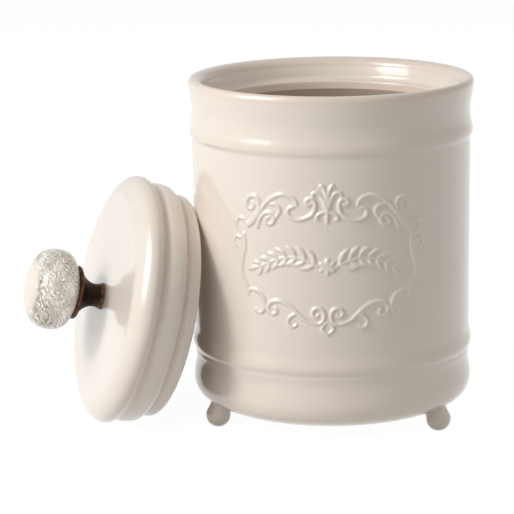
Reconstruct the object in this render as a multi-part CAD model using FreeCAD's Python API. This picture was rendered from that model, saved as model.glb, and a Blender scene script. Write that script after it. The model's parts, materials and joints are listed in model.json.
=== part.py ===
import FreeCAD, Part
import math
import os

# Glazed biscuit jar on three feet, with its lid off and leaning against the wall.
# Millimetres and degrees. The origin is on the floor under the middle of the whole set, +Z is up and
# the jar faces -Y.

# Jar
jar_height = 203.7
body_radius = 82.0
wall = 6.5
floor_thickness = 7.0
underside_height = 9.6
underside_radius = 58.0

# Rim
rim_proud = 1.8
rim_rise = 3.4
crest_inset = 2.5
crest_to_mouth = 6.1
mouth_drop = 5.0
bore_inset = 2.1
neck_height = 184.5
neck_inset = 0.2

# Ledge inside the rim that carries the lid
ledge_drop = 13.0
ledge_thickness = 5.0
ledge_round = 1.2

# Raised bands, waist and belly
upper_band_height = 173.0
lower_band_height = 47.2
band_proud = 1.3
band_half_width = 6.0
waist_height = 38.0
waist_inset = 0.5
belly_height = 24.0
belly_proud = 0.9
inner_corner = 16.0

# Feet
foot_count = 3
foot_inset = 7.0
first_foot_angle = 56.0
foot_radius = 7.3
foot_neck_radius = 6.5
foot_root_radius = 7.0
foot_root_height = 10.5
foot_splay = 20.0
foot_flat = 0.5
seam_turn = 90.0

# Lid, measured along its own axis from the plane where its top ring is widest
lid_to_ledge = 0.9
lid_to_wall = 1.7
lid_to_mouth = 0.9
plug_inset = 4.7
lid_wall = 5.0
edge_rise = 10.0
edge_width = 15.5
dome_rise = 1.3
knob_seat_radius = 9.5
edge_drop = 3.0
edge_tuck = 1.1
first_groove_depth = 3.9
first_groove_drop = 5.4
second_ring_top = 8.2
second_ring_drop = 13.5
second_ring_foot = 17.2
second_groove_drop = 20.0
second_groove_depth = 0.9
plug_drop = 24.5
plug_end = 28.6
plug_round = 2.4

# Knob and its fixing
screw_radius = 2.0
screw_clearance = 0.3
thread_clearance = 0.05
cushion_thickness = 0.8
ferrule_neck_radius = 7.0
ferrule_base_radius = 7.9
ferrule_height = 16.9
ferrule_flange_radius = 15.9
ferrule_flange_thickness = 2.6
spigot_radius = 9.0
spigot_depth = 3.0
spigot_clearance = 0.1
glass_radius = 23.8
glass_depth = 26.8
glass_back_radius = 14.0
glass_front_radius = 12.8
glass_widest = 15.0
glass_shoulder_inset = 2.2
glass_shoulder_height = 4.6
glass_front_inset = 2.6
glass_front_height = 21.6
screw_in_ferrule = 8.5
screw_head_radius = 4.1
screw_head_height = 2.4
screw_slot_width = 1.0
screw_slot_depth = 1.1
steel_washer_radius = 6.5
steel_washer_thickness = 1.0
rubber_washer_radius = 8.5
rubber_washer_thickness = 1.6

# How the lid leans: which way its knob points, how far it tips back, and how far it stands off centre
lid_heading = 71.5
lid_lean = 13.1
lid_side_shift = 26.5
lean_gap = 0.3
floor_gap = 0.05

# Worked out from the values above
rim_radius = body_radius + rim_proud
crest_radius = rim_radius - crest_inset
mouth_radius = crest_radius - crest_to_mouth
inner_radius = body_radius - wall
foot_circle_radius = body_radius - foot_inset
ledge_height = jar_height - ledge_drop
lid_radius = mouth_radius - lid_to_mouth
rim_bore_radius = mouth_radius - bore_inset
second_ring_radius = rim_bore_radius - lid_to_wall
plug_radius = second_ring_radius - plug_inset
ledge_radius = plug_radius + lid_to_ledge
knob_seat_height = edge_rise + dome_rise
lid_inner_radius = plug_radius - lid_wall
lid_inner_height = edge_rise - lid_wall
ferrule_base_height = knob_seat_height + cushion_thickness
ferrule_top = ferrule_base_height + ferrule_height

os.makedirs("parts", exist_ok=True)


def at(radius, height):
    """A point of a profile, in the plane that is turned about the axis."""
    return FreeCAD.Vector(radius, 0, height)


def line(start, end):
    return Part.LineSegment(at(*start), at(*end)).toShape()


def arc(start, middle, end):
    return Part.Arc(at(*start), at(*middle), at(*end)).toShape()


def quarter(start, corner, end):
    """A quarter of an ellipse that leaves start and reaches end along the two sides of their corner."""
    lean_in = math.sqrt(0.5)
    middle = tuple(c + (1 - lean_in) * (s + e - 2 * c) for s, c, e in zip(start, corner, end))
    return smooth([start, middle, end])


def smooth(points):
    """One smooth curve through the points."""
    curve = Part.BSplineCurve()
    curve.interpolate([at(*point) for point in points])
    return curve.toShape()


def turn(edges):
    """A closed profile turned about the Z axis into a solid."""
    face = Part.Face(Part.Wire(edges))
    return face.revolve(FreeCAD.Vector(0, 0, 0), FreeCAD.Vector(0, 0, 1), 360)


def ring(outer, inner, low, high):
    """A flat washer between two heights."""
    return turn([
        line((inner, low), (outer, low)),
        line((outer, low), (outer, high)),
        line((outer, high), (inner, high)),
        line((inner, high), (inner, low)),
    ])


def band(height):
    """The points of a raised band: a soft shoulder above, the crest, and a tighter turn below."""
    return [
        (body_radius, height - band_half_width),
        (body_radius + 0.35 * band_proud, height - 0.5 * band_half_width),
        (body_radius + band_proud, height),
        (body_radius + 0.75 * band_proud, height + 0.5 * band_half_width),
        (body_radius, height + 1.3 * band_half_width),
    ]


def jar_outside():
    """The outer wall from the edge of the underside up to the widest line of the rim."""
    under = (underside_radius, underside_height)
    belly = (body_radius + belly_proud, belly_height)
    waist = (body_radius - waist_inset, waist_height)
    turn_under = smooth([
        under,
        (underside_radius + 8.5, underside_height + 0.5),
        (underside_radius + 17.0, underside_height + 2.9),
        (belly[0] - 2.6, belly_height - 7.6),
        belly,
        waist,
        band(lower_band_height)[0],
    ])
    lower = smooth(band(lower_band_height))
    wall_line = line(band(lower_band_height)[-1], band(upper_band_height)[0])
    upper = smooth(band(upper_band_height))
    widest = (rim_radius, jar_height - rim_rise)
    flare = smooth([
        band(upper_band_height)[-1],
        (body_radius - neck_inset, neck_height),
        (body_radius + 0.35 * rim_proud, neck_height + 7.5),
        widest,
    ])
    return [turn_under, lower, wall_line, upper, flare]


def jar_inside():
    """From the rim's widest line over the crest, down to the ledge, and down the inner wall to the axis."""
    widest = (rim_radius, jar_height - rim_rise)
    crest = (crest_radius, jar_height)
    mouth = (mouth_radius, jar_height - mouth_drop)
    bore_foot = (rim_bore_radius, ledge_height)
    lip = (ledge_radius + ledge_round, ledge_height)
    lip_side = (ledge_radius, ledge_height - ledge_round)
    lip_middle = (
        ledge_radius + ledge_round * (1 - math.sqrt(0.5)),
        ledge_height - ledge_round * (1 - math.sqrt(0.5)),
    )
    lip_low = (ledge_radius, ledge_height - ledge_thickness)
    ledge_root = (inner_radius, ledge_height - ledge_thickness - (inner_radius - ledge_radius))
    floor_height = underside_height + floor_thickness
    wall_foot = (inner_radius, floor_height + inner_corner)
    corner_middle = (
        inner_radius - inner_corner * (1 - math.sqrt(0.5)),
        floor_height + inner_corner * (1 - math.sqrt(0.5)),
    )
    floor_edge = (inner_radius - inner_corner, floor_height)
    return [
        quarter(widest, (rim_radius, jar_height), crest),
        quarter(crest, (mouth_radius, jar_height), mouth),
        line(mouth, bore_foot),
        line(bore_foot, lip),
        arc(lip, lip_middle, lip_side),
        line(lip_side, lip_low),
        line(lip_low, ledge_root),
        line(ledge_root, wall_foot),
        arc(wall_foot, corner_middle, floor_edge),
        line(floor_edge, (0, floor_height)),
    ]


def make_jar():
    floor_height = underside_height + floor_thickness
    base = [
        line((0, floor_height), (0, underside_height)),
        line((0, underside_height), (underside_radius, underside_height)),
    ]
    return turn(base + jar_outside() + jar_inside())


def make_foot(jar):
    """A toe that leans outward, with a slight neck, trimmed to the belly and flat where it stands."""
    ball_height = foot_radius - foot_flat
    peg = turn([
        arc((0, -foot_radius), (foot_radius * math.sqrt(0.5), -foot_radius * math.sqrt(0.5)), (foot_radius, 0)),
        smooth([
            (foot_radius, 0),
            (foot_neck_radius, 0.6 * foot_root_height),
            (foot_root_radius, foot_root_height),
        ]),
        line((foot_root_radius, foot_root_height), (0, foot_root_height)),
        line((0, foot_root_height), (0, -foot_radius)),
    ])
    peg.rotate(FreeCAD.Vector(0, 0, 0), FreeCAD.Vector(0, 0, 1), seam_turn)
    peg.rotate(FreeCAD.Vector(0, 0, 0), FreeCAD.Vector(1, 0, 0), -foot_splay)
    peg.translate(FreeCAD.Vector(0, -foot_circle_radius, ball_height))
    below = Part.makeBox(4 * foot_radius, 4 * foot_radius, foot_radius)
    below.translate(FreeCAD.Vector(-2 * foot_radius, -foot_circle_radius - 2 * foot_radius, -foot_radius))
    peg = peg.cut(below)
    peg.rotate(FreeCAD.Vector(0, 0, 0), FreeCAD.Vector(0, 0, 1), first_foot_angle)
    return peg.cut(jar)


def make_lid():
    """Turned upright about its own axis; the knob's side is up."""
    hole = screw_radius + screw_clearance
    seat = (knob_seat_radius, knob_seat_height)
    edge_top = (lid_radius - edge_width, edge_rise)
    widest = (lid_radius, 0)
    first_groove = (lid_radius - first_groove_depth, -first_groove_drop)
    ring_crest = (second_ring_radius, -second_ring_drop)
    second_groove = (plug_radius - second_groove_depth, -second_groove_drop)
    plug_crest = (plug_radius, -plug_drop)
    plug_foot = (plug_radius - plug_round, -plug_end)
    inner_top = (lid_inner_radius - lid_wall, lid_inner_height)
    inner_side = (lid_inner_radius, lid_inner_height - lid_wall)
    dome_middle = (0.5 * (seat[0] + edge_top[0]), edge_rise + 0.8 * dome_rise)
    outside = [
        line((hole, knob_seat_height), seat),
        arc(seat, dome_middle, edge_top),
        quarter(edge_top, (lid_radius, edge_rise), widest),
        smooth([
            widest,
            (lid_radius - edge_tuck, -edge_drop),
            first_groove,
            (second_ring_radius - 0.4, -second_ring_top),
            ring_crest,
            (second_ring_radius - 1.0, -second_ring_foot),
            second_groove,
        ]),
        smooth([
            second_groove,
            plug_crest,
            (plug_radius - 0.3 * plug_round, -plug_end + 0.3 * plug_round),
            plug_foot,
        ]),
        line(plug_foot, (lid_inner_radius, -plug_end)),
    ]
    inside = [
        line((lid_inner_radius, -plug_end), inner_side),
        quarter(inner_side, (lid_inner_radius, lid_inner_height), inner_top),
        line(inner_top, (hole, lid_inner_height)),
        line((hole, lid_inner_height), (hole, knob_seat_height)),
    ]
    return turn(outside + inside)


def make_ferrule():
    """The turned metal foot of the knob, with a cup for the glass and a bore for the screw."""
    bore = screw_radius + thread_clearance
    cup = spigot_radius + spigot_clearance
    low = ferrule_base_height
    flange_low = ferrule_top - ferrule_flange_thickness
    return turn([
        line((bore, low), (ferrule_base_radius, low)),
        smooth([
            (ferrule_base_radius, low),
            (ferrule_neck_radius, low + 2.2),
            (ferrule_neck_radius + 0.9, low + 0.5 * ferrule_height),
            (ferrule_flange_radius - 2.2, flange_low),
        ]),
        arc(
            (ferrule_flange_radius - 2.2, flange_low),
            (ferrule_flange_radius, ferrule_top - 0.5 * ferrule_flange_thickness),
            (ferrule_flange_radius - 1.2, ferrule_top),
        ),
        line((ferrule_flange_radius - 1.2, ferrule_top), (cup, ferrule_top)),
        line((cup, ferrule_top), (cup, ferrule_top - spigot_depth)),
        line((cup, ferrule_top - spigot_depth), (bore, ferrule_top - spigot_depth)),
        line((bore, ferrule_top - spigot_depth), (bore, low)),
    ])


def make_glass():
    """The oblate glass knob with a flat front, and the spigot that is cemented into the ferrule."""
    spigot_end = ferrule_top - spigot_depth + spigot_clearance
    front = ferrule_top + glass_depth
    return turn([
        line((0, spigot_end), (spigot_radius, spigot_end)),
        line((spigot_radius, spigot_end), (spigot_radius, ferrule_top)),
        line((spigot_radius, ferrule_top), (glass_back_radius, ferrule_top)),
        smooth([
            (glass_back_radius, ferrule_top),
            (glass_radius - glass_shoulder_inset, ferrule_top + glass_shoulder_height),
            (glass_radius, ferrule_top + glass_widest),
            (glass_radius - glass_front_inset, ferrule_top + glass_front_height),
            (glass_front_radius, front),
        ]),
        line((glass_front_radius, front), (0, front)),
        line((0, front), (0, spigot_end)),
    ])


def make_screw():
    """A slotted machine screw that comes up through the lid into the ferrule."""
    seat = lid_inner_height - rubber_washer_thickness - steel_washer_thickness
    head = seat - screw_head_height
    crown = 0.6 * screw_head_radius
    screw = turn([
        line((0, head), (crown, head)),
        arc((crown, head), (0.9 * screw_head_radius, head + 0.3 * screw_head_height),
            (screw_head_radius, head + 0.7 * screw_head_height)),
        line((screw_head_radius, head + 0.7 * screw_head_height), (screw_head_radius, seat)),
        line((screw_head_radius, seat), (screw_radius, seat)),
        line((screw_radius, seat), (screw_radius, ferrule_base_height + screw_in_ferrule)),
        line((screw_radius, ferrule_base_height + screw_in_ferrule), (0, ferrule_base_height + screw_in_ferrule)),
        line((0, ferrule_base_height + screw_in_ferrule), (0, head)),
    ])
    slot = Part.makeBox(3 * screw_head_radius, screw_slot_width, 2 * screw_slot_depth)
    slot.translate(FreeCAD.Vector(-1.5 * screw_head_radius, -0.5 * screw_slot_width, head - screw_slot_depth))
    return screw.cut(slot)


def lid_standoff():
    """How far the lid's centre stands from the jar's axis, so that the plug's edge all but touches the wall."""
    lean = math.radians(lid_lean)
    circle = plug_radius - plug_round
    depth = plug_end - plug_round
    wanted = body_radius + lean_gap + plug_round

    def nearest(distance):
        best = distance
        for step in range(720):
            turned = math.radians(0.5 * step)
            along = distance - depth * math.cos(lean) - circle * math.sin(lean) * math.cos(turned)
            across = lid_side_shift + circle * math.sin(turned)
            best = min(best, math.hypot(along, across))
        return best

    near = body_radius
    far = body_radius + 2 * lid_radius
    for _ in range(40):
        middle = 0.5 * (near + far)
        if nearest(middle) < wanted:
            near = middle
        else:
            far = middle
    return far


def lid_place(lid):
    """Where the leaning lid stands: its knob's direction, and its edge on the floor beside the jar."""
    lean = math.radians(lid_lean)
    heading = math.radians(lid_heading)
    out = FreeCAD.Vector(-math.sin(heading), -math.cos(heading), 0)
    back = FreeCAD.Vector(-math.cos(heading), math.sin(heading), 0)
    centre = out * lid_standoff() + back * lid_side_shift
    axis = out * math.cos(lean) + FreeCAD.Vector(0, 0, math.sin(lean))
    turned = FreeCAD.Rotation(FreeCAD.Vector(0, 0, 1), axis)
    tipped = lid.copy()
    tipped.Placement = FreeCAD.Placement(centre, turned)
    centre.z = floor_gap - tipped.optimalBoundingBox(False).ZMin
    return FreeCAD.Placement(centre, turned)


def set_middle(shapes):
    """The floor point under the middle of everything."""
    boxes = [shape.optimalBoundingBox(False) for shape in shapes.values()]
    across = 0.5 * (min(box.XMin for box in boxes) + max(box.XMax for box in boxes))
    deep = 0.5 * (min(box.YMin for box in boxes) + max(box.YMax for box in boxes))
    return FreeCAD.Vector(across, deep, 0)


def main():
    shapes = {"jar": make_jar()}
    foot = make_foot(shapes["jar"])
    for number in range(foot_count):
        turned = foot.copy()
        turned.rotate(FreeCAD.Vector(0, 0, 0), FreeCAD.Vector(0, 0, 1), number * 360.0 / foot_count)
        shapes["foot_%d" % (number + 1)] = turned
    washer_bore = screw_radius + screw_clearance
    rubber_low = lid_inner_height - rubber_washer_thickness
    steel_low = rubber_low - steel_washer_thickness
    on_lid = {
        "lid": make_lid(),
        "cushion_washer": ring(ferrule_base_radius, washer_bore, knob_seat_height, ferrule_base_height),
        "knob_ferrule": make_ferrule(),
        "knob_glass": make_glass(),
        "rubber_washer": ring(rubber_washer_radius, washer_bore, rubber_low, lid_inner_height),
        "screw_washer": ring(steel_washer_radius, washer_bore, steel_low, rubber_low),
        "knob_screw": make_screw(),
    }
    place = lid_place(on_lid["lid"])
    for name, shape in on_lid.items():
        shape.Placement = place
        shapes[name] = shape
    middle = set_middle(shapes)
    for name, shape in shapes.items():
        shape.translate(-middle)
        solid = shape.Solids[0] if len(shape.Solids) == 1 else shape
        print("%-15s solids %d valid %s volume %.0f" % (name, len(shape.Solids), shape.isValid(), shape.Volume))
        solid.exportStep("parts/%s.step" % name)
    print("lid centre", place.Base - middle, "axis", place.Rotation.multVec(FreeCAD.Vector(0, 0, 1)))
    print("jar centre", -middle)
    print("lid to jar %.3f" % shapes["lid"].distToShape(shapes["jar"])[0])
    print("lid lowest %.3f" % shapes["lid"].optimalBoundingBox(False).ZMin)


main()
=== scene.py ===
# %% [markdown]
# A glazed biscuit jar on three feet, with its lid off and leaning on the wall.
# The first cell loads the measured frame: one object per solid, already at its real place and size.
# Everything below only dresses that frame, so each piece stands where the node that it stands for does.

# %% Load the frame
import json
import math

import bmesh
import bpy
import numpy as np
from mathutils import Matrix, Vector


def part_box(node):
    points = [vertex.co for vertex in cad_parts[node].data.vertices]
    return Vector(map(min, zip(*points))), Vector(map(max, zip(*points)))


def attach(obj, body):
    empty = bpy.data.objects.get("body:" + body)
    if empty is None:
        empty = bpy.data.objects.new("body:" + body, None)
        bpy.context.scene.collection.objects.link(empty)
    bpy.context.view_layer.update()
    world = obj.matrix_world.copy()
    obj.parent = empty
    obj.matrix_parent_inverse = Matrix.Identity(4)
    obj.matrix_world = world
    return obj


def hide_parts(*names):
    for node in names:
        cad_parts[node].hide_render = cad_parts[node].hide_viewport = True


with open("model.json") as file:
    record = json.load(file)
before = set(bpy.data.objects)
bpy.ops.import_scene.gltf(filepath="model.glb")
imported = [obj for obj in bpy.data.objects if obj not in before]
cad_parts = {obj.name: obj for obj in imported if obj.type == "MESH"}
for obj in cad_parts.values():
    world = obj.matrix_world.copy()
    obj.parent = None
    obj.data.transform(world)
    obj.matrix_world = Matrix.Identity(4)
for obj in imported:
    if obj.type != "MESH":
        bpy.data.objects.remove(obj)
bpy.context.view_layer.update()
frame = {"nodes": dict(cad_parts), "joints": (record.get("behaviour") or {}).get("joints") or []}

print("frame nodes:", sorted(frame["nodes"]))

# %% [markdown]
# The camera stands a little over a metre away and looks slightly down, as in the photograph.
# Its place comes from matching the rim's and the bands' ellipses, so it is written as a real distance,
# a height and three small angles. A long lens keeps the sides of the jar nearly upright.

# %% Camera
MM = 0.001
jar_low, jar_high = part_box("jar")
jar_foot = Vector(((jar_low[0] + jar_high[0]) / 2, (jar_low[1] + jar_high[1]) / 2, 0))
jar_matrix = Matrix.Translation(jar_foot)
CAMERA_DISTANCE = 1300 * MM
CAMERA_HEIGHT = 393.3 * MM
LOOK_DOWN = math.radians(12.93)
LOOK_LEFT = math.radians(1.96)
HEAD_TILT = math.radians(-0.72)
LENS = 156.4


def make_camera():
    forward = Vector((-math.sin(LOOK_LEFT) * math.cos(LOOK_DOWN),
                      math.cos(LOOK_LEFT) * math.cos(LOOK_DOWN),
                      -math.sin(LOOK_DOWN)))
    level = Vector((math.cos(LOOK_LEFT), math.sin(LOOK_LEFT), 0))
    above = level.cross(forward)
    right = level * math.cos(HEAD_TILT) + above * math.sin(HEAD_TILT)
    up = above * math.cos(HEAD_TILT) - level * math.sin(HEAD_TILT)
    camera = bpy.data.objects.new("camera", bpy.data.cameras.new("camera"))
    camera.matrix_world = Matrix((right, up, -forward)).transposed().to_4x4()
    camera.location = jar_foot + Vector((0, -CAMERA_DISTANCE, CAMERA_HEIGHT))
    camera.data.lens = LENS
    camera.data.sensor_width = 36
    camera.data.clip_start = 0.05
    camera.data.clip_end = 50
    bpy.context.collection.objects.link(camera)
    bpy.context.scene.camera = camera
    return camera


camera = make_camera()
print("camera at", [round(v, 3) for v in camera.location], "lens", LENS)

# %% [markdown]
# Shader maths is easier to read as plain expressions than as a list of nodes and links.
# A small class wraps a socket, and each operator adds the Math node that it stands for. Colours and
# vectors can't go through a Math node, because it turns them grey, so they have their own calls.

# %% A socket that can be added and multiplied
class Value:
    """A node's output, used as a number in an expression."""

    def __init__(self, paint, socket):
        self.paint = paint
        self.socket = socket

    def math(self, operation, other):
        return self.paint.node("ShaderNodeMath", {"operation": operation}, [self, other])

    def __add__(self, other):
        return self.math("ADD", other)

    def __mul__(self, other):
        return self.math("MULTIPLY", other)

    def __sub__(self, other):
        return self.math("SUBTRACT", other)

    def __rsub__(self, other):
        return self.paint.node("ShaderNodeMath", {"operation": "SUBTRACT"}, [other, self])

    __radd__ = __add__
    __rmul__ = __mul__

    def clamp(self):
        return self.paint.node("ShaderNodeClamp", {}, [self, 0.0, 1.0])

    def ramp(self, low, high):
        """0 at or below low, 1 at or above high, and soft between."""
        return self.paint.node("ShaderNodeMapRange", {"interpolation_type": "SMOOTHSTEP"},
                               [self, low, high, 0.0, 1.0])


print("operators:", ", ".join(name for name in vars(Value) if name.endswith(("add__", "sub__", "mul__"))))

# %% [markdown]
# A material is a tree of nodes, and so is the world round the object. One call adds a node of any kind to
# either, so a finish further down reads as a recipe: what is mixed with what, and by how much.

# %% A tree and the one call that adds a node
MIX_FACTOR, MIX_FIRST, MIX_SECOND, MIX_COLOUR = 0, 6, 7, 2


class Paint:
    """The node tree of one material, or of the world."""

    def __init__(self, name, kind="materials", output="ShaderNodeOutputMaterial"):
        self.owner = getattr(bpy.data, kind).new(name)
        self.owner.use_nodes = True
        self.tree = self.owner.node_tree
        self.tree.nodes.clear()
        self.output = self.tree.nodes.new(output)

    def node(self, kind, settings=None, sockets=(), take=0):
        """Adds a node: settings first, then values or links. sockets is a list in order, or a dict."""
        made = self.tree.nodes.new(kind)
        for name, value in (settings or {}).items():
            setattr(made, name, value)
        for key, value in sockets.items() if isinstance(sockets, dict) else enumerate(sockets):
            if isinstance(value, Value):
                self.tree.links.new(value.socket, made.inputs[key])
            else:
                made.inputs[key].default_value = value
        return Value(self, made.outputs[take])

    def mix(self, factor, first, second):
        """A colour between two colours. The node's number sockets share their names, so places are used."""
        return self.node("ShaderNodeMix", {"data_type": "RGBA"},
                         {MIX_FACTOR: factor, MIX_FIRST: first, MIX_SECOND: second}, take=MIX_COLOUR)

    def noise(self, where, scale, detail=3.0, roughness=0.5, distortion=0.0):
        return self.node("ShaderNodeTexNoise", {}, {
            "Vector": where, "Scale": scale, "Detail": detail,
            "Roughness": roughness, "Distortion": distortion})

    def place(self):
        return self.node("ShaderNodeTexCoord", take="Object")

    def attribute(self, name):
        return self.node("ShaderNodeAttribute", {"attribute_name": name}, take="Fac")

    def bump(self, height, strength, distance):
        return self.node("ShaderNodeBump", {}, {
            "Height": height, "Strength": strength, "Distance": distance})

    def shader(self, sockets):
        return self.node("ShaderNodeBsdfPrincipled", {}, sockets)

    def finish(self, surface):
        self.tree.links.new(surface.socket, self.output.inputs["Surface"])
        return self.owner


print("calls:", ", ".join(name for name in vars(Paint) if not name.startswith("_")))

# %% [markdown]
# Colours are easiest to name as they look on a screen, from 0 to 255. A shader works with amounts of
# light instead, and a screen shows those through a curve, so the curve is undone here once for all.

# %% Screen colours
def srgb(*screen):
    """A screen colour, 0 to 255, as the linear colour that a shader takes."""
    shares = [c / 255 for c in screen]
    linear = [c / 12.92 if c <= 0.0404 else ((c + 0.055) / 1.055) ** 2.4 for c in shares]
    return (*linear, 1.0)


print("mid grey on screen is %.3f to a shader" % srgb(128, 128, 128)[0])

# %% [markdown]
# The glaze is a clear glassy layer over a cream body. One flat colour under a gloss would look like
# plastic. Three things make it look fired: a very smooth coat over a softer body, a colour that warms
# where the glaze runs thin over an edge and darkens a little in a hollow, and a surface that is never
# quite flat, so that highlights wander. The darkening in hollows is partly glaze that pools there and
# partly painted shade, for the shade that falls into them. Each turned mesh carries a number called thin,
# which is high on edges and low in hollows, so the shader needs no painted picture.

# %% Glaze
CREAM = srgb(234, 223, 211)
CREAM_THIN = srgb(231, 213, 197)
# A darker cream: for random cloudy patches, and in hollows for pooled glaze and painted shade.
CREAM_DEEP_AND_SHADED = srgb(227, 214, 200)
SPECK = srgb(180, 158, 136)


def glaze():
    paint = Paint("cream_glaze")
    where = paint.place()
    thin = paint.attribute("thin")
    cloud = paint.noise(where, 9.0, 2.0)
    colour = paint.mix((cloud * 1.6 - 0.45).clamp() * 0.5, CREAM, CREAM_DEEP_AND_SHADED)
    colour = paint.mix(thin.ramp(0.15, 0.95) * 0.75, colour, CREAM_THIN)
    # Painted shade: hollows, such as the turn under a band or the root of a foot, get the darker cream,
    # partly as glaze that pools there and partly for the shade that falls into them.
    colour = paint.mix((0.0 - thin).ramp(0.1, 0.9) * 0.6, colour, CREAM_DEEP_AND_SHADED)
    grains = paint.node("ShaderNodeTexVoronoi", {}, {"Vector": where, "Scale": 170.0})
    rare = paint.noise(where, 31.0, 1.0)
    specks = (1.0 - grains.ramp(0.035, 0.075)) * rare.ramp(0.63, 0.7)
    colour = paint.mix(specks * 0.35, colour, SPECK)
    waves = paint.noise(where, 26.0, 1.0)
    skin = paint.noise(where, 210.0, 2.0)
    normal = paint.bump(waves + skin * 0.05, 0.12, 0.0012)
    roughness = cloud * 0.1 + 0.27
    return paint.finish(paint.shader({
        "Base Color": colour, "Roughness": roughness, "IOR": 1.5, "Normal": normal,
        "Coat Weight": 0.85, "Coat Roughness": 0.045, "Coat IOR": 1.5}))


glaze_material = glaze()
print("made", glaze_material.name)

# %% [markdown]
# Profiles are lists of (radius, height) points in millimetres, as a potter's template would be. A Bezier
# curve with a Screw modifier could do the same, but a list can be measured, joined and blurred in code.
# Straight stretches need only their ends, and a rounded corner is a quarter of an ellipse.

# %% Profile helpers
def stretch(start, end, count=2):
    steps = np.linspace(0, 1, count)
    return [(start[0] + (end[0] - start[0]) * t, start[1] + (end[1] - start[1]) * t) for t in steps]


def quarter(start, corner, end, count=10):
    """A quarter of an ellipse between the two sides of a corner."""
    turned = []
    for t in np.linspace(0, math.pi / 2, count):
        turned.append(tuple(
            c + (s - c) * (1 - math.sin(t)) + (e - c) * (1 - math.cos(t))
            for s, c, e in zip(start, corner, end)))
    return turned


def join(*parts):
    """One outline from several, with the points that two of them share kept once."""
    outline = [parts[0][0]]
    for part in parts:
        for point in part:
            if math.dist(point, outline[-1]) > 1e-4:
                outline.append(point)
    return outline


print("a quarter round has", len(quarter((1, 0), (1, 1), (0, 1))), "points")

# %% [markdown]
# A belly or a flare has no single radius. Arcs could be pieced together, but each joint would show as a
# break in the highlight. A cubic spline through a few measured points has none: its bend changes evenly,
# and vanishes at both ends, so that it runs on into a straight stretch.

# %% Smooth curves
def smooth(points, per_span=8):
    """A cubic spline through the points, spaced by the distance between them."""
    knots = np.array(points, float)
    spans = np.hypot(*np.diff(knots, axis=0).T)
    count = len(knots)
    system = np.eye(count)
    right = np.zeros((count, 2))
    for i in range(1, count - 1):
        before, after = spans[i - 1], spans[i]
        system[i, i - 1:i + 2] = before, 2 * (before + after), after
        right[i] = 6 * ((knots[i + 1] - knots[i]) / after - (knots[i] - knots[i - 1]) / before)
    bend = np.linalg.solve(system, right)
    sampled = []
    for i, span in enumerate(spans):
        for t in np.linspace(0, 1, per_span, endpoint=False) * span:
            back = span - t
            sampled.append(
                bend[i] * back ** 3 / (6 * span) + bend[i + 1] * t ** 3 / (6 * span)
                + (knots[i] / span - bend[i] * span / 6) * back
                + (knots[i + 1] / span - bend[i + 1] * span / 6) * t)
    return [tuple(p) for p in sampled] + [tuple(knots[-1])]


print("a smooth curve through 3 points has", len(smooth([(0, 0), (1, 1), (2, 0)])), "points")

# %% [markdown]
# Glaze runs off an edge and thins there, and it pools in a hollow. Cycles' Pointiness could find both, but
# it changes with the mesh's density. Here they come from the outline itself: where it turns outward the
# value is above 0, where it turns inward it is below, and each turn is spread over the few millimetres
# round it, because glaze is thick and slow. The value below 0 also darkens the glaze as painted shade,
# for the shade that falls into a hollow.

# %% How thin the glaze lies
GLAZE_SPREAD = 3.0


def edge_wear(outline):
    """How sharply the outline turns at each point: above 0 on an edge, below 0 in a hollow."""
    points = np.array(outline)
    before = np.roll(points, 1, axis=0)
    after = np.roll(points, -1, axis=0)
    first = points - before
    second = after - points
    cross = first[:, 0] * second[:, 1] - first[:, 1] * second[:, 0]
    dot = (first * second).sum(axis=1)
    turn = np.arctan2(cross, dot)
    turn[0] = turn[-1] = 0
    apart = np.hypot(points[:, None, 0] - points[None, :, 0], points[:, None, 1] - points[None, :, 1])
    spread = np.exp(-(apart / GLAZE_SPREAD) ** 2)
    return np.clip(spread @ turn, -1, 1)


print("a square corner wears %.1f" % edge_wear([(0, 0), (9, 0), (9, 9)])[1])

# %% [markdown]
# Everything turned or built up in rings is a skin of columns, side by side. All columns have as many
# points, so the faces follow from counting, and numpy writes them far faster than a modelling operator
# would. On the axis the columns' points fall together and are merged. Shading is smooth, but for edges
# that turn more sharply than a set angle.

# %% A skin made of columns
def merge_doubles(mesh):
    """Points that meet on the axis become one, and faces that shrank to nothing go."""
    work = bmesh.new()
    work.from_mesh(mesh)
    bmesh.ops.remove_doubles(work, verts=work.verts, dist=1e-7)
    bmesh.ops.dissolve_degenerate(work, edges=work.edges, dist=1e-8)
    bmesh.ops.recalc_face_normals(work, faces=work.faces)
    work.to_mesh(mesh)
    work.free()


def column_mesh(name, points, thin, stand, sharp=None):
    """Columns of points (in mm) joined side by side into a skin, carrying thin, and stood in its place."""
    columns, rows = points.shape[:2]
    index = np.arange(columns * rows).reshape(columns, rows)
    following = np.roll(index, -1, axis=0)
    quads = np.stack([index[:, :-1], following[:, :-1], following[:, 1:], index[:, 1:]], axis=2)
    mesh = bpy.data.meshes.new(name)
    mesh.from_pydata((points.reshape(-1, 3) * MM).tolist(), [], quads.reshape(-1, 4).tolist())
    field = mesh.attributes.new("thin", "FLOAT", "POINT")
    field.data.foreach_set("value", thin.reshape(-1).astype(np.float32))
    merge_doubles(mesh)
    mesh.shade_smooth()
    if sharp is not None:
        mesh.set_sharp_from_angle(angle=math.radians(sharp))
    mesh.transform(stand)
    piece = bpy.data.objects.new(name, mesh)
    bpy.context.collection.objects.link(piece)
    return piece


print("the mesh helpers are ready")

# %% [markdown]
# For a turned piece all columns are the same outline, at angles round the axis. The angles are given, and
# not counted here, because the jar's stand closer together where it is carved. Angle 0 faces the camera's
# side, and a lift may push points of the wall outward.

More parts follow.
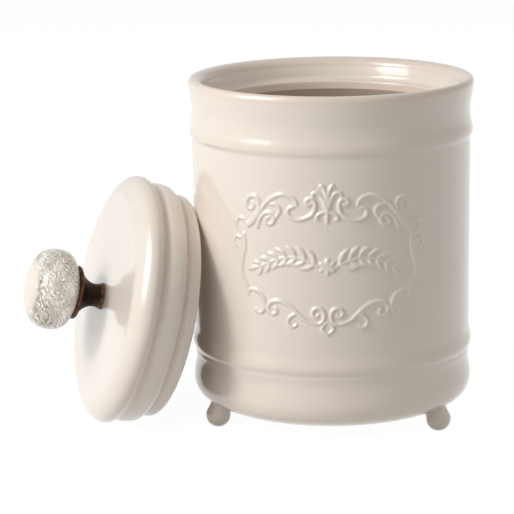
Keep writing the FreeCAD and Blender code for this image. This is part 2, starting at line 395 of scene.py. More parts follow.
# %% Turning an outline
def turned_mesh(name, outline, angles, stand, lift=None, sharp=40):
    """The outline (in mm) turned about its axis. lift(radius, height, angle) may raise points in mm."""
    columns, rows = len(angles), len(outline)
    radius = np.tile([p[0] for p in outline], (columns, 1))
    height = np.tile([p[1] for p in outline], (columns, 1))
    turned = np.tile(np.asarray(angles)[:, None], (1, rows))
    thin = np.tile(edge_wear(outline), (columns, 1))
    if lift is not None:
        radius = radius + lift(radius, height, turned)
    points = np.stack([radius * np.sin(turned), -radius * np.cos(turned), height], axis=2)
    return column_mesh(name, points, thin, stand, sharp)


def even_angles(count):
    return np.arange(count) * 2 * math.pi / count


print("96 columns stand %.2f degrees apart" % math.degrees(even_angles(96)[1]))

# %% [markdown]
# A dressed piece takes the place of a solid of the frame and moves with that solid's body: the jar and its
# feet are one body, the lid and its knob the other. One call says all of it, so that nothing is left out.

# %% Dressing
def dress(piece, material, slot, body, *nodes):
    """Gives a piece its finish, says which solids it stands for, and lets it ride its body."""
    piece.data.materials.clear()
    piece.data.materials.append(material)
    if nodes:
        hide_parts(*nodes)
    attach(piece, body)
    print("%-16s %6d faces, stands for %s" % (
        piece.name, len(piece.data.polygons), ", ".join(nodes) or "no node"))


print(len(frame["nodes"]), "nodes to dress")

# %% [markdown]
# The raised scrollwork was carved into the model that the mould was taken from, and the glaze has
# softened it. It could be modelled stroke by stroke, but then every crossing needs mending. Here each
# stroke is a curve with a width, all strokes are drawn into one height field on the unrolled wall, the
# field is blurred as the glaze would, and the wall's points are lifted by it.
# Places are in millimetres: across from the jar's front, and up from the floor. Only the right half is
# listed; the left half is its mirror. A stroke has a name, its width at each end, measured from its
# middle line, and its points.

# %% The scrollwork's strokes
ORNAMENT_TURN = -1.6
SCROLLS = [
    ("inner feather", 1.0, 0.5, [(0.4, 141.5), (0.7, 147.0), (1.5, 151.5), (3.3, 154.0), (4.2, 152.4)]),
    ("outer feather", 1.2, 0.6, [(0.6, 141.0), (2.4, 146.2), (5.4, 149.8), (7.8, 149.2), (7.9, 147.2)]),
    ("feather drop", 1.1, 0.5, [(0.0, 140.5), (0.2, 136.5), (0.1, 132.4)]),
    ("side drop", 0.9, 0.7, [(0.5, 139.0), (3.0, 138.4), (5.4, 136.8), (6.0, 134.9), (4.6, 134.5)]),
    ("cradle", 1.1, 0.9, [
        (9.1, 143.4), (10.7, 142.7), (11.7, 144.5), (9.9, 146.3), (7.5, 145.4), (6.6, 142.0),
        (7.9, 138.2), (11.7, 135.4), (17.0, 134.1), (20.9, 135.6), (22.4, 138.3), (21.0, 140.8),
        (19.0, 141.2)]),
    ("wave", 0.7, 1.0, [
        (17.1, 142.4), (18.2, 145.6), (21.7, 147.6), (25.8, 148.2), (31.1, 146.2), (36.3, 141.6),
        (40.6, 135.6), (44.6, 130.4), (47.4, 128.4)]),
    ("hollow curl", 0.9, 0.7, [
        (32.6, 142.3), (28.9, 141.7), (27.1, 139.4), (28.0, 136.6), (29.4, 134.4)]),
    ("low curl", 0.8, 0.9, [
        (33.8, 134.6), (35.6, 133.2), (34.6, 131.0), (31.9, 131.0), (30.4, 133.4), (31.4, 136.4),
        (34.8, 137.2), (38.4, 134.8), (40.2, 131.4), (40.9, 128.4)]),
    ("high curl", 0.8, 1.0, [
        (44.4, 142.2), (43.2, 140.4), (45.4, 138.3), (48.0, 139.9), (47.9, 143.4), (44.9, 145.8),
        (41.2, 144.9), (39.8, 141.6), (41.0, 137.2), (44.0, 133.2), (47.4, 129.6)]),
    ("outer hook", 0.9, 0.7, [
        (47.4, 129.2), (50.2, 131.4), (52.8, 132.6), (55.5, 130.8), (55.4, 127.4), (52.8, 124.6),
        (50.6, 121.6)]),
    ("ear", 0.7, 0.6, [(53.2, 121.0), (56.6, 121.0), (57.8, 118.0), (55.8, 115.6)]),
    ("bracket", 0.7, 0.7, [
        (50.4, 123.6), (49.7, 117.0), (51.1, 110.4), (52.2, 104.0), (51.0, 98.6), (48.8, 94.8),
        (47.8, 91.6)]),
    ("hook", 0.7, 0.9, [
        (48.0, 88.6), (46.4, 91.4), (42.4, 91.6), (38.4, 88.6), (36.8, 84.6), (37.7, 80.4),
        (40.4, 78.8), (42.8, 80.6)]),
    ("garland", 1.0, 0.8, [
        (30.4, 82.2), (29.3, 80.6), (31.1, 78.9), (34.2, 80.0), (34.6, 83.4), (31.6, 86.2),
        (27.6, 86.6), (22.9, 85.1), (18.2, 81.4), (13.7, 77.2), (9.1, 74.8), (4.6, 74.2)]),
    ("twig", 0.8, 0.7, [(18.4, 79.8), (21.4, 77.8), (22.6, 74.6), (20.6, 72.2), (17.6, 73.4)]),
    ("crook", 0.8, 0.9, [
        (5.2, 79.6), (6.9, 78.4), (8.5, 80.0), (7.9, 82.6), (5.2, 83.6), (2.6, 82.0), (1.9, 78.8),
        (2.9, 75.8), (5.4, 74.2)]),
    ("lozenge", 0.75, 0.75, [(0.0, 75.6), (1.9, 74.0), (3.3, 71.9), (1.9, 69.8), (0.0, 68.2)]),
]
print(len(SCROLLS), "strokes, and as many mirrored")

# %% [markdown]
# The middle of the frame holds a plain leaf spray: two sprigs that leave a small rosette. Leaves could be
# placed by hand, but a formula along the stem makes them shrink evenly towards the tip, as real ones do.
# A leaf is a short stroke that swells in its middle and comes to a point.

# %% The leaf spray
SPRAY_HEIGHT = 107.5
SPRAY_REACH = 41.0
SPRAY_RISE = 5.0
SPRAY_WAVE = math.pi * 1.15
ROSETTE = 4.6
LEAF_PAIRS = 7
FIRST_LEAF = 0.07
LEAF_STRETCH = 0.86
LEAF_LENGTH = 11.5
LEAF_SWELL = 1.25
LEAF_LEAN = math.radians(50)
LEAF_CURL = math.radians(20)


def on_stem(t):
    """The point of the stem at a share t of its length."""
    return ROSETTE + (SPRAY_REACH - ROSETTE) * t, SPRAY_HEIGHT + SPRAY_RISE * math.sin(SPRAY_WAVE * t)


def leaf(t, side):
    """A leaf that leaves the stem at t, on its upper side (1) or its lower one (-1)."""
    x, y = on_stem(t)
    along = math.atan(SPRAY_RISE * SPRAY_WAVE * math.cos(SPRAY_WAVE * t) / (SPRAY_REACH - ROSETTE))
    lean, curl = along + side * LEAF_LEAN, along + side * LEAF_CURL
    half = 0.5 * LEAF_LENGTH * (1 - 0.42 * t)
    middle = (x + half * math.cos(lean), y + half * math.sin(lean))
    tip = (middle[0] + half * math.cos(curl), middle[1] + half * math.sin(curl))
    return "leaf", 0.35, 0.15, [(x, y), middle, tip], LEAF_SWELL * (1 - 0.35 * t)


def spray_strokes():
    """The right sprig. Its strokes also say how much they swell in their middle."""
    stem = [on_stem(t) for t in np.linspace(0, 1, 9)]
    strokes = [("stem", 0.8, 0.45, stem, 0.0)]
    for pair in range(LEAF_PAIRS):
        t = FIRST_LEAF + LEAF_STRETCH * pair / (LEAF_PAIRS - 1)
        strokes += [leaf(t, 1), leaf(t, -1)]
    x, y = stem[-1]
    return strokes + [("tip leaf", 0.4, 0.15, [(x, y), (x + 3.5, y - 0.9), (x + 6.5, y - 2.4)], 1.0)]


print(len(spray_strokes()), "strokes in a sprig")

# %% [markdown]
# Where the two sprigs meet sits a rosette. Its petals could be drawn one by one, but copies of a single
# petal, turned round the middle, stay alike. Each swells in its middle, so that neighbours touch.

# %% The rosette
PETALS = 6


def rosette_strokes():
    """Petals round the middle of the spray."""
    strokes = []
    for petal in range(PETALS):
        turned = math.radians(30 + 360 / PETALS * petal)
        across, up = ROSETTE * math.cos(turned), ROSETTE * math.sin(turned)
        points = [(share * across, SPRAY_HEIGHT + share * up) for share in (0.2, 0.6, 1.0)]
        strokes.append(("petal", 0.4, 0.6, points, 1.2))
    return strokes


print(len(rosette_strokes()), "petals")

# %% [markdown]
# Drawing a stroke into the field: for each cell near the curve, the distance to the curve is compared
# with the stroke's width there, and the height falls off as a half round. Strokes that cross keep the
# higher of the two, as two rolls of clay pressed together would. A texture with a Displace modifier could
# lift the wall too, but it would need a picture file, and this one is only sums.

# %% Drawing a stroke
CELL = 0.25
FIELD_LOW = (-64.0, 60.0)
FIELD_HIGH = (64.0, 162.0)
RELIEF_HEIGHT = 1.15


def draw_stroke(field, start_width, end_width, points, swell, height=RELIEF_HEIGHT):
    """Draws one half-round stroke into the field."""
    curve = np.array(smooth(points, 14))
    along = np.linspace(0, 1, len(curve))
    widths = start_width + (end_width - start_width) * along + swell * np.sin(math.pi * along) ** 1.2
    for (x, y), width in zip(curve, widths):
        reach = int(width / CELL) + 2
        column = int(round((x - FIELD_LOW[0]) / CELL))
        row = int(round((y - FIELD_LOW[1]) / CELL))
        left, right = max(column - reach, 0), min(column + reach + 1, field.shape[1])
        low, high = max(row - reach, 0), min(row + reach + 1, field.shape[0])
        across = FIELD_LOW[0] + CELL * np.arange(left, right) - x
        up = FIELD_LOW[1] + CELL * np.arange(low, high) - y
        share = (across[None, :] ** 2 + up[:, None] ** 2) / width ** 2
        dome = height * min(1.0, 0.55 + 0.45 * width) * np.sqrt(np.clip(1 - share, 0, 1))
        field[low:high, left:right] = np.maximum(field[low:high, left:right], dome)


print("the field has %d cells to a millimetre" % (1 / CELL))

# %% [markdown]
# The scrolls and the sprig are drawn on the right half and mirrored, then the rosette goes in the middle
# with a small dot on it. Fresh carving has crisp edges, but under glaze they are soft, and a blur does
# both what the mould wears off and what the glaze fills in.

# %% The height field
SCROLL_SWELL = 0.25
DOT_HEIGHT = 1.3
GLAZE_BLUR = 0.42


def blurred(field, reach):
    """A soft blur, rows then columns."""
    cells = int(3 * reach / CELL) + 1
    weights = np.exp(-0.5 * (np.arange(-cells, cells + 1) * CELL / reach) ** 2)
    weights /= weights.sum()
    for axis in (1, 0):
        field = np.apply_along_axis(lambda line: np.convolve(line, weights, "same"), axis, field)
    return field


def make_field():
    columns = int((FIELD_HIGH[0] - FIELD_LOW[0]) / CELL) + 1
    rows = int((FIELD_HIGH[1] - FIELD_LOW[1]) / CELL) + 1
    field = np.zeros((rows, columns))
    for _, *stroke in [(*scroll, SCROLL_SWELL) for scroll in SCROLLS] + spray_strokes():
        draw_stroke(field, *stroke)
    field = np.maximum(field, field[:, ::-1])
    for _, *stroke in rosette_strokes():
        draw_stroke(field, *stroke)
    draw_stroke(field, 1.3, 1.3, [(x, SPRAY_HEIGHT) for x in (-0.2, 0, 0.2)], 0, DOT_HEIGHT)
    return blurred(field, GLAZE_BLUR)


relief = make_field()
print("height field", relief.shape, "highest %.2f mm" % relief.max())

# %% [markdown]
# The jar itself is one turned mesh: outer wall, rolled rim, ledge and inner wall in one closed outline,
# so that its clay has a real thickness where the mouth shows it. The values are the same real sizes as
# the solid's, and the cell that makes the mesh prints its width and height beside the frame's.
# A band is a bead with a long soft shoulder above and a tight turn below. The turn shades into a dark line,
# and there the glaze is darkened too, partly as pooled glaze and partly as painted shade.

# %% The jar's outline
JAR_HEIGHT = 203.7
BODY = 82.0
WALL = 6.5
UNDERSIDE = (58.0, 9.6)
BELLY = [UNDERSIDE, (66.5, 10.1), (75.0, 12.5), (80.3, 16.4), (82.9, 24.0), (81.5, 38.0)]
BAND = [(0, -6.0), (0.04, -4.7), (0.36, -3.4), (1.05, -1.7),
        (1.3, 0.2), (0.93, 3.0), (0.28, 5.8), (0, 7.8)]
UPPER_BAND = 173.0
LOWER_BAND = 47.2
RIM = 83.8
RIM_HEIGHT = 200.3
CREST = 81.3
MOUTH = 75.2
MOUTH_DROP = 5.0
BORE = 73.1
LEDGE = 67.6
LEDGE_HEIGHT = 190.7
LEDGE_ROUND = 1.2
LEDGE_LIP = 5.0
LEDGE_FOOT = 12.9
FLOOR_THICK = 7.0
FLOOR_ROUND = 16.0


def band(height):
    """The bead's outline, with its middle at a height."""
    return [(BODY + proud, height + up) for proud, up in BAND]


print("a band stands %.1f mm proud" % max(proud for proud, up in BAND))

# %% [markdown]
# The whole outline starts under the middle of the jar, goes out and up the wall, over the rim, down the
# bore and over the ledge that carries the lid, and back to the middle along the inside. The ledge's
# underside and the inside below it aren't seen in the photograph, so they are plain there.

# %% The jar from foot to rim and back
def mouth_outline():
    """From the crest of the rim down the bore, over the ledge and to its foot on the inner wall."""
    lip = JAR_HEIGHT - MOUTH_DROP
    return [
        quarter((CREST, JAR_HEIGHT), (MOUTH, JAR_HEIGHT), (MOUTH, lip), 14),
        smooth([(MOUTH, lip), (BORE + 0.8, LEDGE_HEIGHT + 4.0), (BORE, LEDGE_HEIGHT + LEDGE_ROUND),
                (BORE - 1.4, LEDGE_HEIGHT)], 5),
        quarter((LEDGE + LEDGE_ROUND, LEDGE_HEIGHT), (LEDGE, LEDGE_HEIGHT),
                (LEDGE, LEDGE_HEIGHT - LEDGE_ROUND), 6),
        stretch((LEDGE, LEDGE_HEIGHT - LEDGE_ROUND), (LEDGE, LEDGE_HEIGHT - LEDGE_LIP), 3),
        stretch((LEDGE, LEDGE_HEIGHT - LEDGE_LIP), (BODY - WALL, LEDGE_HEIGHT - LEDGE_FOOT), 4)]


def jar_outline():
    lower, upper = band(LOWER_BAND), band(UPPER_BAND)
    rows = int((upper[0][1] - lower[-1][1]) / 0.4)
    inner = BODY - WALL
    floor = UNDERSIDE[1] + FLOOR_THICK
    corner = floor + FLOOR_ROUND
    return join(
        stretch((0, UNDERSIDE[1]), UNDERSIDE, 8),
        smooth([*BELLY, lower[0]], 12),
        smooth(lower, 7),
        stretch(lower[-1], upper[0], rows),
        smooth(upper, 7),
        smooth([upper[-1], (81.8, 184.5), (82.63, 192.0), (RIM, RIM_HEIGHT)], 8),
        quarter((RIM, RIM_HEIGHT), (RIM, JAR_HEIGHT), (CREST, JAR_HEIGHT)),
        *mouth_outline(),
        stretch((inner, LEDGE_HEIGHT - LEDGE_FOOT), (inner, corner), 8),
        quarter((inner, corner), (inner, floor), (inner - FLOOR_ROUND, floor), 10),
        stretch((inner - FLOOR_ROUND, floor), (0, floor), 8))


print("the jar's outline has", len(jar_outline()), "points")

# %% [markdown]
# The wall's points are lifted by the height field, read between its cells so that no steps show. Columns
# and rows stand close together where the scrollwork is and far apart elsewhere. Subdividing the whole
# wall would give the same carving at many times the faces.

# %% The jar
ORNAMENT_HALF = math.radians(46)
CLOSE_COLUMNS = 0.4
WIDE_COLUMNS = 110


def wall_lift(radius, height, angle):
    """How far the scrollwork lifts a point of the outer wall."""
    angle = (angle - math.radians(ORNAMENT_TURN) + math.pi) % (2 * math.pi) - math.pi
    across = (BODY * angle - FIELD_LOW[0]) / CELL
    up = (height - FIELD_LOW[1]) / CELL
    inside = (across > 1) & (across < relief.shape[1] - 2) & (up > 1) & (up < relief.shape[0] - 2)
    inside &= radius > BODY - 1
    x0 = np.clip(across.astype(int), 0, relief.shape[1] - 2)
    y0 = np.clip(up.astype(int), 0, relief.shape[0] - 2)
    fx, fy = across - x0, up - y0
    lifted = (relief[y0, x0] * (1 - fx) * (1 - fy) + relief[y0, x0 + 1] * fx * (1 - fy)
              + relief[y0 + 1, x0] * (1 - fx) * fy + relief[y0 + 1, x0 + 1] * fx * fy)
    return np.where(inside, lifted, 0.0)


def jar_angles():
    """Close together over the ornament at the front, far apart round the back."""
    close = np.arange(-ORNAMENT_HALF, ORNAMENT_HALF, CLOSE_COLUMNS / BODY)
    wide = np.linspace(ORNAMENT_HALF, 2 * math.pi - ORNAMENT_HALF, WIDE_COLUMNS, endpoint=False)
    return np.concatenate([close, wide])


jar = turned_mesh("jar_body", jar_outline(), jar_angles(), jar_matrix, lift=wall_lift)
dress(jar, glaze_material, "glaze", "jar", "jar")
mesh_top = max(v.co.z for v in jar.data.vertices)
print("frame: %.1f wide and %.1f high" % ((jar_high[0] - jar_low[0]) / MM, jar_high[2] / MM))
print("mesh: %.1f wide and %.1f high" % (jar.dimensions.x / MM, mesh_top / MM))

# %% [markdown]
# The lid leans, so it is drawn upright first and then stood in its place by one matrix. The frame gives
# that place: the lift joint's axis is the lid's axis, and the lid solid's own points, measured along and
# across that axis, give its centre. Nothing about the lean is typed in again.

# %% Where the lid stands
SEAT_HEIGHT = 11.3


def lid_stand():
    axis = Vector(frame["joints"][0]["axis"]).normalized()
    turn = Vector((0, 0, 1)).rotation_difference(axis)
    node = frame["nodes"]["lid"]
    points = np.array([tuple(turn.inverted() @ v.co) for v in node.data.vertices])
    low, high = points.min(axis=0), points.max(axis=0)
    centre = Vector(((low[0] + high[0]) / 2, (low[1] + high[1]) / 2, high[2] - SEAT_HEIGHT * MM))
    return Matrix.Translation(turn @ centre) @ turn.to_matrix().to_4x4()


lid_matrix = lid_stand()
print("lid centre", [round(v / MM, 1) for v in lid_matrix.translation])

# %% [markdown]
# The lid is a stepped dome: a low crown, a fat rounded edge, a valley, a second ring, a fine groove, and
# the plug that drops inside the jar. Stacked cylinders with bevels would give the steps, but the glaze
# fills every corner, so each step runs into the next as one curve. The widest radius stays 0.3 mm inside
# the solid's.

# %% The lid
LID = 74.0
SECOND = 71.4
PLUG = 66.7
LID_WALL = 5.0
SCREW_HOLE = 2.3
SEAT = 9.5
EDGE_RISE = 10.0
EDGE_WIDTH = 15.5
PLUG_END = -28.6


def lid_outline():
    inner = PLUG - LID_WALL
    ceiling = EDGE_RISE - LID_WALL
    edge = LID - EDGE_WIDTH
    return join(
        stretch((SCREW_HOLE, SEAT_HEIGHT), (SEAT, SEAT_HEIGHT), 3),
        smooth([(SEAT, SEAT_HEIGHT), (22.0, SEAT_HEIGHT - 0.1), (37.0, SEAT_HEIGHT - 0.45),
                (50.0, SEAT_HEIGHT - 0.95), (edge, EDGE_RISE)], 6),
        quarter((edge, EDGE_RISE), (LID, EDGE_RISE), (LID, 0), 22),
        smooth([(LID, 0), (LID - 1.1, -3.0), (LID - 3.9, -5.4), (SECOND - 0.4, -8.2), (SECOND, -13.5),
                (SECOND - 1.0, -17.2), (PLUG - 0.9, -20.0)], 9),
        smooth([(PLUG - 0.9, -20.0), (PLUG, -24.5), (PLUG - 0.72, -27.88), (PLUG - 2.4, PLUG_END)], 6),
        stretch((PLUG - 2.4, PLUG_END), (inner, PLUG_END), 3),
        stretch((inner, PLUG_END), (inner, ceiling - LID_WALL), 6),
        quarter((inner, ceiling - LID_WALL), (inner, ceiling), (inner - LID_WALL, ceiling), 8),
        stretch((inner - LID_WALL, ceiling), (SCREW_HOLE, ceiling), 10),
        stretch((SCREW_HOLE, ceiling), (SCREW_HOLE, SEAT_HEIGHT), 3))


lid = turned_mesh("lid_body", lid_outline(), even_angles(220), lid_matrix)
dress(lid, glaze_material, "glaze", "lid", "lid")

# %% [markdown]
# The knob is a bought-in piece: a ball of glass pressed flat at the front, silvered and crackled inside,
# set in a turned metal foot. A single shiny ball would look like steel. Glass needs two surfaces: the
# outer one is clear, and lets light through to the one inside it.

# %% Clear glass
def clear_glass():
    paint = Paint("clear_glass")
    waves = paint.noise(paint.place(), 60.0, 1.0)
    return paint.finish(paint.shader({
        "Base Color": (0.99, 0.985, 0.975, 1), "Roughness": 0.01, "IOR": 1.45, "Transmission Weight": 1.0,
        "Normal": paint.bump(waves, 0.15, 0.0006)}))


glass_material = clear_glass()
print("made", glass_material.name)

# %% [markdown]
# A little smaller than the glass is its silvered skin. Its fine swirling cracks could be drawn as lines,
# but they catch the light on the real one, so they are ridges in the normal as well. The flat front is
# plainer: a number called front fades the cracks out there. A little light of its own stands in for what
# the silver would mirror from a whole room.

# %% Crackled silver
def silvered_skin():
    paint = Paint("crackled_silver")
    where = paint.node("ShaderNodeMapping", {}, {
        "Vector": paint.place(), "Rotation": (0.3, 0.75, -0.6), "Scale": (1.0, 0.5, 0.7)})
    swirl = paint.noise(where, 70.0, 2.0, 0.5, 1.6)
    strands = paint.node("ShaderNodeTexWave", {"wave_type": "BANDS", "bands_direction": "X"}, {
        "Vector": where, "Scale": 210.0, "Distortion": 11.0, "Detail": 3.0, "Detail Scale": 1.2},
        take="Fac")
    cracks = paint.node("ShaderNodeTexVoronoi", {"feature": "DISTANCE_TO_EDGE"}, {
        "Vector": where, "Scale": 480.0})
    facets = paint.node("ShaderNodeTexVoronoi", {}, {"Vector": where, "Scale": 640.0})
    front = paint.attribute("front")
    side = 1.0 - front
    lines = (strands.ramp(0.66, 0.97) * 0.75 + (1.0 - cracks.ramp(0.0, 0.09)) * 0.4) * side
    patch = paint.noise(where, 46.0, 1.0).ramp(0.42, 0.62)
    colour = paint.mix(swirl.ramp(0.4, 0.7), srgb(212, 206, 196), srgb(242, 238, 231))
    colour = paint.mix(lines.clamp() * (patch * 0.55 + 0.3), colour, srgb(112, 99, 80))
    colour = paint.mix(front * 0.85, colour, srgb(222, 213, 200))
    ridges = lines * 0.6 + facets * 1.1 * side
    return paint.finish(paint.shader({
        "Base Color": colour, "Metallic": 0.35 - front * 0.3, "Roughness": 0.16 + front * 0.25,
        "Emission Color": colour, "Emission Strength": 0.27, "Normal": paint.bump(ridges, 0.85, 0.0012)}))


silver_material = silvered_skin()
print("made", silver_material.name)

# %% [markdown]
# The knob's foot is metal with a dark patina that hands have rubbed off its rim. A mask painted by hand
# could say where, but rubbing always finds the edges, and thin already knows them. A little noise breaks
# the rubbed band up, so it doesn't look sprayed.

# %% Aged bronze
def aged_bronze():
    paint = Paint("aged_bronze")
    where = paint.place()
    rub = paint.noise(where, 240.0, 3.0)
    worn = (paint.attribute("thin") * 0.55 + rub * 0.6).ramp(0.7, 1.05)
    patina = paint.mix(paint.noise(where, 90.0, 3.0).ramp(0.35, 0.7), srgb(34, 27, 23), srgb(62, 48, 40))
    return paint.finish(paint.shader({
        "Base Color": paint.mix(worn, patina, srgb(122, 78, 56)), "Metallic": 0.9,
        "Roughness": 0.42 - worn * 0.14,
        "Normal": paint.bump(paint.noise(where, 420.0, 1.0), 0.15, 0.0003)}))


bronze_material = aged_bronze()
print("made", bronze_material.name)

# %% [markdown]
# The ferrule is a short waisted stem that opens into a rolled cup, and the glass sits on that cup. Both
# are turned on the lid's axis, so they use the lid's matrix and lean with it. Heights are from the level
# where the lid is widest.

# %% The ferrule
FERRULE_LOW = 12.1
FERRULE_TOP = 29.0
FERRULE_BORE = 2.05
FERRULE_FOOT = 7.9
FERRULE_NECK = 7.0
CUP = 15.9
CUP_LIP = 14.7
SOCKET = 9.1
SOCKET_DEPTH = 3.0


def ferrule_outline():
    low, top = FERRULE_LOW, FERRULE_TOP
    under_cup = (13.7, top - 2.6)
    return join(
        stretch((FERRULE_BORE, low), (FERRULE_FOOT, low), 3),
        smooth([(FERRULE_FOOT, low), (FERRULE_NECK, low + 2.2), (FERRULE_FOOT, low + 8.4), under_cup], 8),
        smooth([under_cup, (15.4, top - 2.3), (CUP, top - 1.3), (15.5, top - 0.35), (CUP_LIP, top)], 4),
        stretch((CUP_LIP, top), (SOCKET, top), 3),
        stretch((SOCKET, top), (SOCKET, top - SOCKET_DEPTH)),
        stretch((SOCKET, top - SOCKET_DEPTH), (FERRULE_BORE, top - SOCKET_DEPTH)),
        stretch((FERRULE_BORE, top - SOCKET_DEPTH), (FERRULE_BORE, low)))


ferrule = turned_mesh("ferrule", ferrule_outline(), even_angles(96), lid_matrix)
dress(ferrule, bronze_material, "aged_bronze", "lid", "knob_ferrule")

# %% [markdown]
# The glass is drawn once and used twice: as it is for the clear outside, and 1.6 mm smaller for the
# silvered skin within. The skin stands for no node of its own. It also carries front, which rises from 0
# to 1 over the last millimetre or so before the flat face.

# %% The glass
GLASS_RADIUS = 23.8
GLASS_DEPTH = 26.8
GLASS_WIDEST = 15.0
GLASS_BACK = 14.0
GLASS_FRONT = 12.8
SKIN_INSET = 1.6
FRONT_STARTS = 3.0
FRONT_FADE = 1.2


def glass_outline(inset=0.0):
    low, wide = FERRULE_TOP + inset, GLASS_RADIUS - inset
    back = GLASS_BACK - 0.5 * inset
    front = FERRULE_TOP + GLASS_DEPTH - inset
    return join(
        stretch((0.0, low), (back, low), 6),
        smooth([(back, low), (wide - 2.2, FERRULE_TOP + 4.6 + 0.3 * inset),
                (wide, FERRULE_TOP + GLASS_WIDEST), (wide - 2.6, FERRULE_TOP + 21.6 - 0.3 * inset),
                (GLASS_FRONT, front)], 10),
        stretch((GLASS_FRONT, front), (0.0, front), 6))


def mark_front(piece):
    """Writes how far each point lies into the flat front, from 0 to 1."""
    starts = FERRULE_TOP + GLASS_DEPTH - FRONT_STARTS
    upright = [lid_matrix.inverted() @ v.co for v in piece.data.vertices]
    share = [float(np.clip((v.z / MM - starts) / FRONT_FADE, 0, 1)) for v in upright]
    piece.data.attributes.new("front", "FLOAT", "POINT").data.foreach_set("value", share)
    print("%d of %d points are on the front" % (sum(s == 1 for s in share), len(share)))


glass = turned_mesh("glass_knob", glass_outline(), even_angles(128), lid_matrix, sharp=50)
dress(glass, glass_material, "clear_glass", "lid", "knob_glass")
silver = turned_mesh("silvered_inside", glass_outline(SKIN_INSET), even_angles(128), lid_matrix, sharp=50)
dress(silver, silver_material, "clear_glass", "lid")
mark_front(silver)

# %% [markdown]
# A foot is a toe of clay pressed onto the belly while both were damp. Metaballs would melt the two
# together, but they hold no exact size, so the toe is built as rings of points up its leaning axis: a ball
# below, a slight waist, and a root that ends inside the belly. What stands on the shelf is flat.
# The root also swells into a collar of slip. It is measured from a level that lies mostly above the
# belly's skin, so nearly all of the collar is inside the clay and only a faint swelling shows.

# %% Feet
FOOT_CIRCLE = BODY - 7.0
FOOT_RADIUS = 7.3
FOOT_WAIST = 6.5
FOOT_ROOT = 7.0
FOOT_LEAN = math.radians(20)
FOOT_TOP = 10.3
FOOT_FLAT = 0.5
FIRST_FOOT = 56
COLLAR_REACH = 4.0
COLLAR_GROWTH = 0.42
COLLAR_LEVEL = 17.565
COLLAR_EDGE = 64.97


def collar_level(radius):
    """The height that the collar is measured from. Only inside COLLAR_EDGE is it the belly's own skin."""
    under = [point for point in smooth([*BELLY, band(LOWER_BAND)[0]], 12) if point[1] < BELLY[4][1]]
    skin = np.interp(radius, [p[0] for p in under], [p[1] for p in under])
    return np.where(radius > COLLAR_EDGE, COLLAR_LEVEL, skin)


def lean_foot(across, deep, along):
    """Places of the foot's own axes, leaned outward and stood on the foot circle."""
    y = deep * math.cos(FOOT_LEAN) + along * math.sin(FOOT_LEAN) - FOOT_CIRCLE
    z = along * math.cos(FOOT_LEAN) - deep * math.sin(FOOT_LEAN) + FOOT_RADIUS - FOOT_FLAT
    return across, y, z


print("the feet stand on a circle %.0f mm across" % (2 * FOOT_CIRCLE))

# %% [markdown]
# The foot's outline is turned about its own axis, leaned, and then swung round the jar to its place. The
# three are one shape at even spacings, as feet out of one mould would be.

# %% Making the feet
FOOT_COLUMNS = 64


def foot_mesh(name, degrees):
    ball = [(FOOT_RADIUS * math.cos(t), FOOT_RADIUS * math.sin(t))
            for t in np.linspace(-math.pi / 2, 0, 22, endpoint=False)]
    outline = ball + smooth([(FOOT_RADIUS, 0), (FOOT_WAIST, 0.6 * FOOT_TOP), (FOOT_ROOT, FOOT_TOP)], 14)
    turned = even_angles(FOOT_COLUMNS)[:, None]
    radius = np.array([p[0] for p in outline])[None, :]
    along = np.array([p[1] for p in outline])[None, :] + 0 * turned
    across, deep = radius * np.cos(turned), radius * np.sin(turned)
    x, y, z = lean_foot(across, deep, along)
    gap = np.clip(collar_level(np.hypot(x, y)) - z, 0, None)
    near = np.clip(1 - gap / COLLAR_REACH, 0, 1)
    grow = 1 + COLLAR_GROWTH * near ** 2.2 * (along > 0)
    x, y, z = lean_foot(across * grow, deep * grow, along)
    a = math.radians(degrees)
    points = np.stack([x * math.cos(a) - y * math.sin(a), x * math.sin(a) + y * math.cos(a),
                       np.maximum(z, 0)], axis=2)
    # Painted shade: thin falls below 0 towards the root, where the toe meets the belly, so the glaze
    # darkens there, partly as glaze pooled in the join and partly for the shade between the two parts.
    return column_mesh(name, points, -0.9 * near ** 2 + 0.2, jar_matrix)


for number in range(3):
    foot = foot_mesh("toe_%d" % (number + 1), FIRST_FOOT + 120 * number)
    dress(foot, glaze_material, "glaze", "jar", "foot_%d" % (number + 1))

# %% [markdown]
# The screw and the washers hold the knob. They are already the right shape in the frame, and hardly show,
# so the nodes stay as they are and only get a finish. One recipe does for zinc, rubber and fibre: a tone
# that varies a little, and a grain.

# %% Fixings
def plain_finish(name, colour, metallic, roughness, grain):
    paint = Paint(name)
    where = paint.place()
    patches = paint.noise(where, 130.0, 3.0)
    tone = paint.mix(patches * 0.5, colour, tuple(0.7 * c for c in colour[:3]) + (1.0,))
    return paint.finish(paint.shader({
        "Base Color": tone, "Metallic": metallic, "Roughness": roughness + patches * 0.1,
        "Normal": paint.bump(paint.noise(where, 600.0, 2.0), grain, 0.0002)}))


steel_material = plain_finish("zinc_plate", srgb(176, 176, 172), 0.95, 0.3, 0.1)
rubber_material = plain_finish("black_rubber", srgb(38, 37, 36), 0.0, 0.65, 0.25)
fibre_material = plain_finish("washer_fibre", srgb(120, 104, 86), 0.0, 0.6, 0.35)
for node, material in (("knob_screw", steel_material), ("screw_washer", steel_material),
                       ("rubber_washer", rubber_material), ("cushion_washer", fibre_material)):
    solid = frame["nodes"][node]
    solid.data.materials.clear()
    solid.data.materials.append(material)
    print(node, "gets", material.name)

# %% [markdown]
# The floor is pale and matt, and takes the object's soft shadow. A background could be made white with
# more light, but that would bleach the glaze. Instead, rays that come from the camera, off a gloss or
# through the glass meet a floor that glows white by itself, and all other rays meet the matt one.

# %% Floor
FLOOR_HALF = 6.0


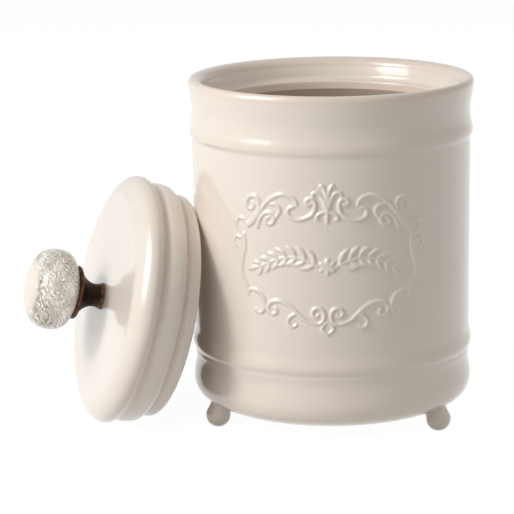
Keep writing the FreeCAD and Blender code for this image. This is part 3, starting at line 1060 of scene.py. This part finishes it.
def seen_straight(paint):
    """1 for a ray from the camera, off a gloss or through glass, and 0 for one that only carries light."""
    camera_ray = paint.node("ShaderNodeLightPath", take="Is Camera Ray")
    glossy_ray = paint.node("ShaderNodeLightPath", take="Is Glossy Ray")
    through_ray = paint.node("ShaderNodeLightPath", take="Is Transmission Ray")
    return camera_ray.math("MAXIMUM", glossy_ray).math("MAXIMUM", through_ray)


def pale_floor():
    paint = Paint("pale_floor")
    patches = paint.noise(paint.place(), 2.0, 1.0) * 0.3
    tone = paint.mix(patches, (0.7, 0.695, 0.69, 1), (0.67, 0.665, 0.66, 1))
    matt = paint.shader({"Base Color": tone, "Roughness": 0.9, "Specular IOR Level": 0.1})
    seen = paint.shader({"Base Color": (0.2, 0.2, 0.2, 1), "Roughness": 1.0, "Specular IOR Level": 0.0,
                         "Emission Color": (1, 1, 1, 1), "Emission Strength": 0.95})
    return paint.finish(paint.node("ShaderNodeMixShader", {}, [seen_straight(paint), matt, seen]))


def make_floor():
    mesh = bpy.data.meshes.new("floor")
    corners = [(x * FLOOR_HALF, y * FLOOR_HALF, 0) for x, y in ((-1, -1), (1, -1), (1, 1), (-1, 1))]
    mesh.from_pydata(corners, [], [(0, 1, 2, 3)])
    floor = bpy.data.objects.new("floor", mesh)
    bpy.context.collection.objects.link(floor)
    mesh.materials.append(pale_floor())


make_floor()
print("floor: %.0f m wide" % (2 * FLOOR_HALF))

# %% [markdown]
# The world beyond the floor gives a weak warm light from all sides, so that no shadow is quite black. The
# rays that see it straight meet a pale grey instead. The same mask as the floor's tells them apart.

# %% World
SKY_TINT = (1.0, 0.97, 0.93, 1)
SKY_STRENGTH = 0.13
SEEN_SKY = (0.8, 0.8, 0.8, 1)


def make_world():
    paint = Paint("studio", "worlds", "ShaderNodeOutputWorld")
    soft = paint.node("ShaderNodeBackground", {}, {"Color": SKY_TINT, "Strength": SKY_STRENGTH})
    seen = paint.node("ShaderNodeBackground", {}, {"Color": SEEN_SKY, "Strength": 1.0})
    return paint.finish(paint.node("ShaderNodeMixShader", {}, [seen_straight(paint), soft, seen]))


bpy.context.scene.world = make_world()
print("world strength", SKY_STRENGTH)

# %% [markdown]
# A tall soft box at the front left makes the form and the long highlights on the beads and on the lid's
# roll. A small lamp inside its outline keeps the edge of the lid's shadow readable. A weak front light
# reaches the inner wall under the ledge, and a weak one from the right keeps the far side from going dark;
# those two leave no highlight. Lamps are placed by bearing, height and distance from the jar, because that
# is how one would carry them round a table.

# %% Lamps
LAMP_AIM = Vector((-0.03, 0, 0.1))


def toward(bearing, elevation, distance):
    """bearing: degrees to the left of the camera's side, seen from the jar."""
    a, e = math.radians(bearing), math.radians(elevation)
    return distance * Vector((-math.sin(a) * math.cos(e), -math.cos(a) * math.cos(e), math.sin(e)))


def lamp(name, bearing, elevation, distance, size, power, colour, mirrored=True):
    target = jar_foot + LAMP_AIM
    place = target + toward(bearing, elevation, distance)
    light = bpy.data.lights.new(name, "AREA")
    light.shape = "RECTANGLE"
    light.size, light.size_y = size
    light.energy = power
    light.color = colour
    holder = bpy.data.objects.new(name, light)
    holder.location = place
    holder.rotation_mode = "QUATERNION"
    holder.rotation_quaternion = (target - place).to_track_quat("-Z", "Y")
    holder.visible_glossy = mirrored
    bpy.context.collection.objects.link(holder)
    print("%s: %.1f W" % (name, power))


lamp("soft_box", 64, 34, 1.6, (0.85, 1.15), 13.2, (0.975, 0.985, 1.0))
lamp("key", 62, 34, 1.6, (0.26, 0.26), 6.5, (0.98, 0.985, 0.995))
lamp("front", 22, 32, 1.8, (1.0, 0.7), 5.4, (1.0, 0.985, 0.965), mirrored=False)
lamp("fill", -96, 22, 1.8, (0.9, 1.2), 6.5, (1.0, 0.965, 0.92), mirrored=False)

# %% [markdown]
# Last, the picture's view transform.

# %% Finish
bpy.context.scene.view_settings.view_transform = "Standard"
